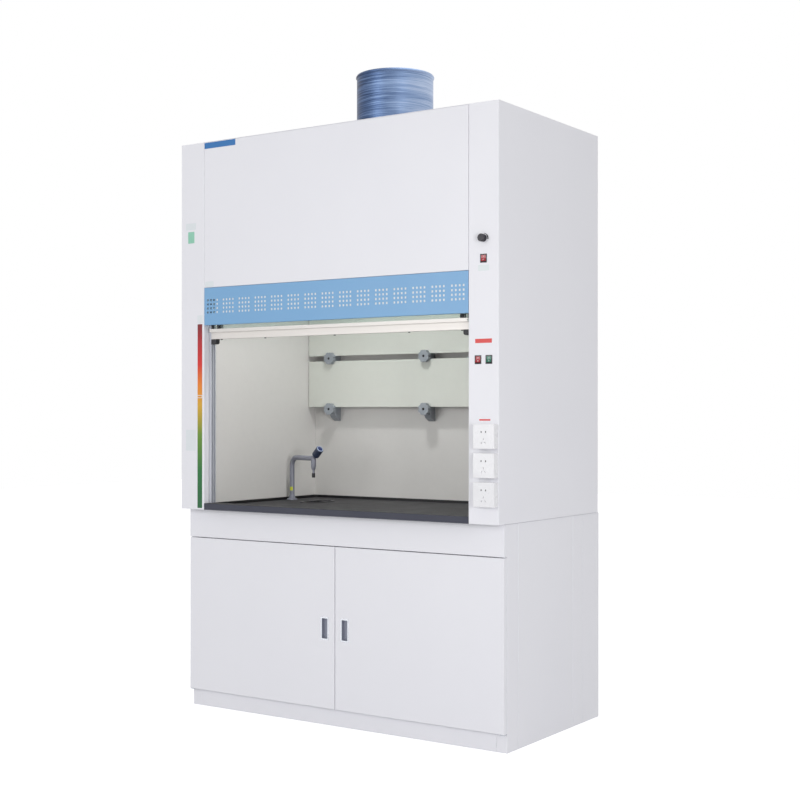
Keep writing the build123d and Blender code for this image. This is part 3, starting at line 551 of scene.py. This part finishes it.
def hangLamps(setups):
    for name, setup in setups.items():
        data = bpy.data.lights.new(name, "AREA")
        data.shape = "DISK"
        data.size = setup["size"]
        data.energy = setup["power"]
        lamp = bpy.data.objects.new(name, data)
        lamp.location = setup["place"]
        lamp.rotation_euler = (Vector(setup["aim"]) - lamp.location).to_track_quat("-Z", "Y").to_euler()
        bpy.context.scene.collection.objects.link(lamp)


buildRoom(room)
hangLamps(lamps)
bpy.context.scene.view_settings.view_transform = "Standard"
print("room and lamps ready")

# thin bare films and plates on the posts and the front panel: across, up, thickness, corner radius, film
films = {
    "plain": laminate("plainFilm", srgb(222, 227, 230), srgb(214, 220, 224), 0.30, 900.0),
    "clear": laminate("clearFilm", srgb(213, 221, 222), srgb(208, 216, 218), 0.30, 900.0),
    "blue": laminate("blueFilm", srgb(34, 104, 168), srgb(42, 114, 178), 0.32, 900.0),
    "red": laminate("redFilm", srgb(214, 58, 52), srgb(202, 46, 44), 0.34, 900.0),
    "green": laminate("greenFilm", srgb(150, 204, 182), srgb(126, 190, 164), 0.34, 900.0),
}
plates = {
    "cornerPlate": ((-0.6240, -0.4600), (2.2725, 2.2965), 0.0006, 0.0015, "blue"),
    "postLabelHigh": ((-0.7250, -0.6700), (1.9500, 1.9770), 0.0002, 0.0030, "plain"),
    "postLabelGreen": ((-0.7130, -0.6790), (1.8950, 1.9420), 0.0002, 0.0020, "green"),
    "postLabelLow": ((-0.7240, -0.6700), (1.0500, 1.1350), 0.0002, 0.0030, "plain"),
    "stripHead": ((-0.6620, -0.6320), (1.5680, 1.6000), 0.0003, 0.0010, "plain"),
    "panelLabel": ((-0.6200, -0.5750), (1.7130, 1.7350), 0.0002, 0.0040, "plain"),
    "fanLabel": ((0.6660, 0.7110), (1.7050, 1.7260), 0.0002, 0.0010, "clear"),
    "switchBar": ((0.6540, 0.7220), (1.4510, 1.4660), 0.0003, 0.0006, "red"),
    "socketBar": ((0.6710, 0.7160), (1.1775, 1.1830), 0.0003, 0.0004, "red"),
}


def addPlate(name, across, up, thick, radius, finish):
    # the step round the front is two fifths of the thickness, 0.3 mm at most
    outline = roundedOutline((across[0], up[0]), (across[1], up[1]), radius)
    mesh = plateMesh(name, outline, postFace, postFace - thick, min(thick * 0.4, 0.0003))
    meshPiece(name, mesh, finish, hood)


for name, (across, up, thick, radius, film) in plates.items():
    addPlate(name, across, up, thick, radius, films[film])

# sash height strip: one printed film, red where the sash is too high and green where it is safe
strip = {"across": (-0.6612, -0.6360), "up": (0.8180, 1.5640), "thick": 0.0003, "corner": 0.0006}


def stripFilm(low, high):
    paint = Paint("heightFilm")
    share = (paint.axis("Z") - low) / (high - low)
    tone = paint.ramp(share, [
        (0.00, srgb(8, 88, 46)), (0.20, srgb(14, 104, 46)), (0.40, srgb(96, 136, 40)),
        (0.56, srgb(208, 160, 46)), (0.66, srgb(226, 128, 34)), (0.78, srgb(208, 40, 34)),
        (0.90, srgb(172, 22, 32)), (1.00, srgb(112, 20, 28))])
    fine = paint.noise(700.0, 2.0)
    dull = paint.noise(20.0) * 0.1 + 0.28
    return paint.done(paint.surface(tone, dull, bump=paint.bump(fine, 0.05, 0.0002)))


printed = stripFilm(*strip["up"])
addPlate("heightStrip", strip["across"], strip["up"], strip["thick"], strip["corner"], printed)

# white ring that marks the working height on the strip; its corners are shares of its height
pointer = {
    "centre": (-0.6486, 1.2700), "size": (0.0290, 0.0120), "bar": 0.0024, "thick": 0.0012,
    "outerCorner": 0.45, "innerCorner": 0.24,
}


def addPointer(setup):
    (cx, cz), (wide, tall), bar = setup["centre"], setup["size"], setup["bar"]
    low, high = (cx - wide / 2, cz - tall / 2), (cx + wide / 2, cz + tall / 2)
    outer = roundedOutline(low, high, tall * setup["outerCorner"])
    low, high = (low[0] + bar, low[1] + bar), (high[0] - bar, high[1] - bar)
    inner = roundedOutline(low, high, tall * setup["innerCorner"])
    back, front = postFace - strip["thick"], postFace - strip["thick"] - setup["thick"]
    work = bmesh.new()
    rings = [[work.verts.new((x, y, z)) for x, z in path] for path in (outer, inner) for y in (back, front)]
    count = len(outer)
    for i in range(count):
        sleeveFaces(work, rings, i, (i + 1) % count)
    mesh = finishMesh(work, "heightPointer")
    meshPiece("heightPointer", mesh, finishes["socket_white"], hood)


addPointer(pointer)
print("labels and height strip added")

# plate behind the bypass grille; the first three columns of holes stay open to the dark
grilleShield = {
    "left": -0.5645, "right": 0.6235, "inset": 0.022, "corner": 0.003,
    "behind": 0.0012, "thick": 0.0010,
}


def addGrilleShield(setup):
    low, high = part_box("bypass_grille")
    face = low.y + setup["behind"]
    lowCorner = (setup["left"], low.z + setup["inset"])
    highCorner = (setup["right"], high.z - setup["inset"])
    outline = roundedOutline(lowCorner, highCorner, setup["corner"])
    finish = powderCoat("shieldCoat", srgb(226, 228, 226), srgb(218, 221, 220))
    mesh = plateMesh("grilleShield", outline, face + setup["thick"], face)
    meshPiece("grilleShield", mesh, finish, hood)


addGrilleShield(grilleShield)

# speed mark round the dial: a black band that widens as the fan runs faster
dialMark = {
    "centre": (0.6880, 1.8200), "inner": 0.0155, "outer": (0.0172, 0.0205),
    "turn": (86, -14), "steps": 20, "thick": 0.0003,
}


def addDialMark(setup):
    cx, cz = setup["centre"]
    start, end = setup["turn"]
    count = setup["steps"]
    outer, inner = [], []
    for i in range(count + 1):
        share = i / count
        angle = math.radians(start + (end - start) * share)
        reach = setup["outer"][0] + (setup["outer"][1] - setup["outer"][0]) * share
        outer.append((cx + reach * math.cos(angle), cz + reach * math.sin(angle)))
        inner.append((cx + setup["inner"] * math.cos(angle), cz + setup["inner"] * math.sin(angle)))
    mesh = plateMesh("dialMark", outer + inner[::-1], postFace, postFace - setup["thick"])
    meshPiece("dialMark", mesh, finishes["bezel_black"], hood)


addDialMark(dialMark)

# I and O on the rockers, printed on their two tilted faces
rockerMarks = {
    "tilt": -8, "half": 0.0106, "pivot": 0.005, "middle": 0.0015, "fall": 0.0022,
    "rise": 0.00015, "bar": (0.0012, 0.0046), "ring": (0.0024, 0.0015), "edge": 0.00005,
}
switches = {"fan": (0.6880, 1.7490), "lamp": (0.66575, 1.3925), "socket": (0.71025, 1.3925)}


def rockerSpot(setup, x, z, upper):
    # middle of one face of the paddle, and its outward direction, once the paddle is tipped
    side = 1 if upper else -1
    tilt = Matrix.Rotation(math.radians(setup["tilt"]), 3, "X")
    middle = Vector((0, -setup["middle"] - setup["pivot"], side * setup["half"] / 2))
    outward = Vector((0, -setup["half"], -side * setup["fall"])).normalized()
    return Vector((x, postFace + setup["pivot"], z)) + tilt @ middle, tilt @ outward


def addRockerMarks(setup, places):
    ink = moulding("rockerInk", srgb(236, 236, 236), srgb(226, 226, 226), 0.3)
    for name, (x, z) in places.items():
        body = name + "_switch"
        spot, out = rockerSpot(setup, x, z, False)
        wide, thin = setup["ring"]
        profile = [(thin, 0), (wide, 0), (wide, setup["rise"]), (thin, setup["rise"])]
        ring = latheMesh(name + "OffMark", profile, spot, out, 24, closed=True)
        meshPiece(name + "OffMark", ring, ink, body)
        spot, out = rockerSpot(setup, x, z, True)
        bar = Matrix.Translation(spot) @ out.to_track_quat("Z", "Y").to_matrix().to_4x4()
        work = bmesh.new()
        size = Matrix.Diagonal((*setup["bar"], 2 * setup["rise"], 1))
        bmesh.ops.create_cube(work, size=1.0, matrix=bar @ size)
        bmesh.ops.bevel(work, geom=list(work.edges), offset=setup["edge"], segments=1, affect="EDGES")
        meshPiece(name + "OnMark", finishMesh(work, name + "OnMark"), ink, body)


addRockerMarks(rockerMarks, switches)

# dark blocks just inside the upper pair of slots of each wall socket: dark inner plastic, and painted shade
# in the holes
holeShadeAndPlastic = {
    "x": 0.7050, "heights": (0.9185, 1.0205, 1.1225), "pair": (0.0090, 0.0160),
    "size": (0.0040, 0.0020, 0.0060), "depth": 0.0008,
}


def addHoleShadeAndPlastic(setup):
    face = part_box("wall_sockets")[0].y
    # painted shade in the holes, partly dark inner plastic
    dark = moulding("sleeveBlack", srgb(16, 16, 18), srgb(26, 26, 28), 0.5)
    size = Matrix.Diagonal((*setup["size"], 1))
    y = face + setup["depth"] + setup["size"][1] / 2
    across, up = setup["pair"]
    work = bmesh.new()
    for z in setup["heights"]:
        for side in (-1, 1):
            place = Matrix.Translation((setup["x"] + side * across, y, z + up))
            bmesh.ops.create_cube(work, size=1.0, matrix=place @ size)
    meshPiece("holeShadeBlocks", finishMesh(work, "holeShadeBlocks"), dark, hood)


addHoleShadeAndPlastic(holeShadeAndPlastic)
print("controls marked")

# tap: pale ring and blue cap on the handle's end, black outlet tip, one yellow film on the column
tapTrim = {
    "valve": (-0.4232, 0.0766, 1.0110), "axis": (0.7279, -0.2387, 0.6428), "handleEnd": 0.0640,
    "ring": {"outer": 0.0143, "inner": 0.0106, "rise": 0.0012, "corner": 0.0006},
    "cap": {"radius": 0.0104, "rise": 0.0020},
    "tip": {"radius": 0.0070, "top": -0.0640, "end": -0.0813, "throat": 0.0050, "mouth": 0.0030},
    "film": {"column": (-0.5800, 0.1280), "radius": 0.0107, "thick": 0.0003, "up": (0.8680, 0.8840)},
}


def addHandleRing(setup, end, axis):
    wide, thin, rise, corner = setup["outer"], setup["inner"], setup["rise"], setup["corner"]
    profile = [(thin, 0), (wide, 0), (wide, rise * 0.6)]
    profile += [(wide - corner, rise), (thin + corner, rise), (thin, rise * 0.6)]
    pale = moulding("handleRing", srgb(176, 190, 216), srgb(160, 176, 206), 0.3)
    mesh = latheMesh("handleRing", profile, end, axis, 48, closed=True)
    meshPiece("handleRing", mesh, pale, "water_handle")


def addHandleCap(setup, end, axis):
    reach, rise = setup["radius"], setup["rise"]
    profile = [(0, 0), (reach, 0), (reach, rise * 0.3)]
    profile += [(reach * 0.85, rise * 0.7), (reach * 0.5, rise * 0.95), (0, rise)]
    blue = moulding("handleCap", srgb(40, 58, 112), srgb(30, 46, 96), 0.3, coat=0.2)
    meshPiece("handleCap", latheMesh("handleCap", profile, end, axis, 48), blue, "water_handle")


def addOutletTip(setup, valve):
    # heights are measured from the valve; the tip is chamfered at both ends and hollow at its mouth
    radius, top, end = setup["radius"], setup["top"], setup["end"]
    profile = [(setup["throat"], top + 0.0012), (radius - 0.0008, top + 0.0012), (radius, top)]
    profile += [(radius, end + 0.0012), (radius - 0.0012, end), (setup["mouth"], end)]
    profile += [(setup["mouth"], end + 0.0006), (0, end + 0.0006)]
    mesh = latheMesh("outletTip", profile, valve, (0, 0, 1), 32)
    meshPiece("outletTip", mesh, finishes["black_rubber"], hood)


def addColumnFilm(setup, start=-118, sweep=84, steps=12):
    # a film bent round the front of the column
    x, y = setup["column"]
    angles = [math.radians(start + sweep * i / steps) for i in range(steps + 1)]
    work = bmesh.new()
    rows = []
    for radius in (setup["radius"] - setup["thick"], setup["radius"]):
        for z in setup["up"]:
            arc = [(x + radius * math.cos(a), y + radius * math.sin(a), z) for a in angles]
            rows.append([work.verts.new(spot) for spot in arc])
    for i in range(steps):
        sleeveFaces(work, rows, i, i + 1)
    for i in (0, steps):
        work.faces.new((rows[0][i], rows[1][i], rows[3][i], rows[2][i]))
    yellow = laminate("yellowFilm", srgb(204, 208, 60), srgb(190, 196, 48), 0.4, 900.0)
    meshPiece("columnFilm", finishMesh(work, "columnFilm", 40), yellow, hood)


def addTapTrim(setup):
    valve, axis = Vector(setup["valve"]), Vector(setup["axis"]).normalized()
    end = valve + axis * setup["handleEnd"]
    addHandleRing(setup["ring"], end, axis)
    addHandleCap(setup["cap"], end, axis)
    addOutletTip(setup["tip"], valve)
    addColumnFilm(setup["film"])


addTapTrim(tapTrim)

# black end of the stud in the middle of each baffle knob
knobCaps = {"radius": 0.0057, "back": 0.0038, "skirt": 0.0014, "dome": 0.0012}


def addKnobCaps(setup):
    black = moulding("studBlack", srgb(18, 18, 20), srgb(30, 30, 32), 0.45)
    for row in ("lower", "upper"):
        for side in ("left", "middle", "right"):
            low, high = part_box("baffle_knob_" + row + "_" + side)
            centre = Vector(((low.x + high.x) / 2, low.y + setup["back"], (low.z + high.z) / 2))
            reach, skirt, dome = setup["radius"], setup["skirt"], setup["dome"]
            profile = [(0, 0), (reach, 0), (reach, skirt)]
            profile += [(reach * 0.8, skirt + dome * 0.7), (0, skirt + dome)]
            name = "studCap" + row.title() + side.title()
            cap = latheMesh(name, profile, centre, (0, -1, 0), 28)
            meshPiece(name, cap, black, "knob_" + row + "_" + side)


addKnobCaps(knobCaps)
print("tap and knobs trimmed")


def screwHead(recipe):
    # button head: a short cylinder, domed and sunk in the middle by a run of extrusions
    radius, rise = recipe.size("Head Radius"), recipe.size("Head Height")
    solid = recipe.add("GeometryNodeMeshCylinder", inputs={0: 12, 3: radius, 4: rise})
    mesh, top = solid, recipe.other(solid, "Top")
    for lift, shrink in ((0.30, 0.86), (0.20, 0.66), (0.0, 0.60), (-0.55, 0.92)):
        mesh = recipe.add("GeometryNodeExtrudeMesh", inputs={0: mesh, 1: top, 3: rise * lift})
        top = recipe.other(mesh, "Top")
        mesh = recipe.add("GeometryNodeScaleElements", inputs={0: mesh, 1: top, 2: shrink})
    return mesh


def screwRowRecipe():
    recipe = Recipe("screwRow", {
        "Start": "Vector", "End": "Vector", "Count": "Int", "Facing": "Vector",
        "Head Radius": "Float", "Head Height": "Float"})
    line = recipe.add("GeometryNodeMeshLine", {"mode": "END_POINTS"}, {
        0: recipe.size("Count"), 2: recipe.size("Start"), 3: recipe.size("End")})
    way = recipe.add("FunctionNodeAlignRotationToVector", {"axis": "Z"}, {2: recipe.size("Facing")})
    row = recipe.add("GeometryNodeInstanceOnPoints", inputs={0: line, 2: screwHead(recipe), 5: way})
    return recipe.done(row)


def screwRingRecipe():
    recipe = Recipe("screwRing", {
        "Centre": "Vector", "Ring Radius": "Float", "Count": "Int",
        "Head Radius": "Float", "Head Height": "Float"})
    count, radius = recipe.size("Count"), recipe.size("Ring Radius")
    ring = recipe.add("GeometryNodeMeshCircle", inputs={0: count, 1: radius})
    moved = recipe.add("GeometryNodeTransform", inputs={0: ring, "Translation": recipe.size("Centre")})
    row = recipe.add("GeometryNodeInstanceOnPoints", inputs={0: moved, 2: screwHead(recipe)})
    return recipe.done(row)


# screw rows: start, end, how many, the way they face; the cabinet's heads sink a little into its back
headSink = 0.0008
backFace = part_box("hood_back")[1].y
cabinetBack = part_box("base_back")[1].y - headSink
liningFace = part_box("liner_ceiling")[0].z
screws = {
    "headRadius": 0.0042, "headHeight": 0.0018,
    "rows": {
        "backTop": ((-0.735, backFace, 2.285), (0.735, backFace, 2.285), 9, (0, 1, 0)),
        "backLow": ((-0.735, backFace, 0.826), (0.735, backFace, 0.826), 9, (0, 1, 0)),
        "backLeft": ((-0.735, backFace, 1.02), (-0.735, backFace, 2.10), 7, (0, 1, 0)),
        "backRight": ((0.735, backFace, 1.02), (0.735, backFace, 2.10), 7, (0, 1, 0)),
        "cabinetTop": ((-0.70, cabinetBack, 0.795), (0.70, cabinetBack, 0.795), 8, (0, 1, 0)),
        "cabinetLow": ((-0.70, cabinetBack, 0.085), (0.70, cabinetBack, 0.085), 8, (0, 1, 0)),
        "lampFront": ((-0.30, -0.2775, liningFace), (0.30, -0.2775, liningFace), 5, (0, 0, -1)),
        "lampBack": ((-0.30, -0.1425, liningFace), (0.30, -0.1425, liningFace), 5, (0, 0, -1)),
    },
    "ringRadius": 0.1705, "ringCount": 12, "collarFlange": 0.0015,
}


def addScrews(setup):
    steel = brushedMetal("screwSteel", srgb(190, 192, 198), srgb(150, 152, 158), (400, 400, 400), 0.32)
    size = {"Head Radius": setup["headRadius"], "Head Height": setup["headHeight"]}
    rowRecipe = screwRowRecipe()
    for name, (start, end, count, facing) in setup["rows"].items():
        values = {"Start": start, "End": end, "Count": count, "Facing": facing, **size}
        mesh = grown(name, rowRecipe, values, steel)
        meshPiece("screws" + name[0].upper() + name[1:], mesh, steel, hood)
    low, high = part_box("duct_collar")
    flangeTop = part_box("hood_roof")[1].z + setup["collarFlange"]
    centre = ((low.x + high.x) / 2, (low.y + high.y) / 2, flangeTop)
    values = {"Centre": centre, "Ring Radius": setup["ringRadius"], "Count": setup["ringCount"], **size}
    mesh = grown("collar", screwRingRecipe(), values, steel)
    meshPiece("screwsCollar", mesh, steel, hood)


addScrews(screws)
print("screws set")

# sash cables: six twisted wires along each run
rope = {
    "radius": 0.0015, "wires": 6, "lay": 0.020, "step": 0.0016,
    "runs": (
        ("frontCables", "cable_front_runs", "sash"), ("rearCables", "cable_rear_runs", "balance_weight")),
}


def ropeRecipe(wireShare=0.36):
    # each wire's radius is a share of the rope's
    recipe = Recipe("wireRope", {"Rope Radius": "Float", "Wires": "Int", "Lay": "Float", "Step": "Float"})
    radius = recipe.size("Rope Radius")
    wire = radius * wireShare
    places = recipe.add("GeometryNodeMeshCircle", inputs={0: recipe.size("Wires"), 1: radius - wire})
    strand = recipe.add("GeometryNodeCurvePrimitiveCircle", inputs={0: 7, 4: wire})
    bundle = recipe.add("GeometryNodeInstanceOnPoints", inputs={0: places, 2: strand})
    section = recipe.add("GeometryNodeRealizeInstances", inputs={0: bundle})
    path = recipe.add("GeometryNodeResampleCurve", {"mode": "LENGTH"}, {
        0: recipe.size("Base"), 3: recipe.size("Step")})
    along = recipe.add("GeometryNodeSplineParameter", output=1)
    twist = along * (2 * math.pi) / recipe.size("Lay")
    tilted = recipe.add("GeometryNodeSetCurveTilt", inputs={0: path, 2: twist})
    tube = recipe.add("GeometryNodeCurveToMesh", inputs={0: tilted, 1: section, 2: True})
    return recipe.done(recipe.add("GeometryNodeSetShadeSmooth", inputs={0: tube}))


def cablePath(name, paths):
    curve = bpy.data.curves.new(name, "CURVE")
    curve.dimensions = "3D"
    for points in paths:
        spline = curve.splines.new("POLY")
        spline.points.add(len(points) - 1)
        for point, place in zip(spline.points, points):
            point.co = (*place, 1)
    return curve


def quarter(x, y, z, radius, start, steps=12):
    # a quarter turn round a pulley, from front to back
    angles = [math.radians(start - 90 * i / steps) for i in range(steps + 1)]
    return [(x, y + radius * math.cos(a), z + radius * math.sin(a)) for a in angles]


def addCables(setup):
    # the runs at the front and back stretch between the hood and what hangs on them
    recipe = ropeRecipe()
    radius = setup["radius"]
    values = {"Rope Radius": radius, "Wires": setup["wires"], "Lay": setup["lay"], "Step": setup["step"]}
    finish = finishes["cable_steel"]
    tops = []
    for name, node, mover in setup["runs"]:
        low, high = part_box(node)
        x, y = high.x - radius, (low.y + high.y) / 2
        tops.append((x, y, high.z))
        paths = [[(side * x, y, low.z), (side * x, y, high.z)] for side in (-1, 1)]
        mesh = grown(name, recipe, values, finish, cablePath(name + "Path", paths))
        piece = bpy.data.objects.new(name, mesh)
        bpy.context.scene.collection.objects.link(piece)
        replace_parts(piece, node)
        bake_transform(piece)
    (x, frontY, z), (_, rearY, _) = tops
    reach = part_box("cable_top_runs")[1].z - radius - z
    paths = []
    for side in (-1, 1):
        rise = quarter(side * x, frontY + reach, z, reach, 180)
        fall = quarter(side * x, rearY - reach, z, reach, 90)
        paths.append(rise + fall)
    mesh = grown("topCables", recipe, values, finish, cablePath("topCablePath", paths))
    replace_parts(meshPiece("topCables", mesh, finish, hood), "cable_top_runs")


addCables(rope)
print("cables laid")
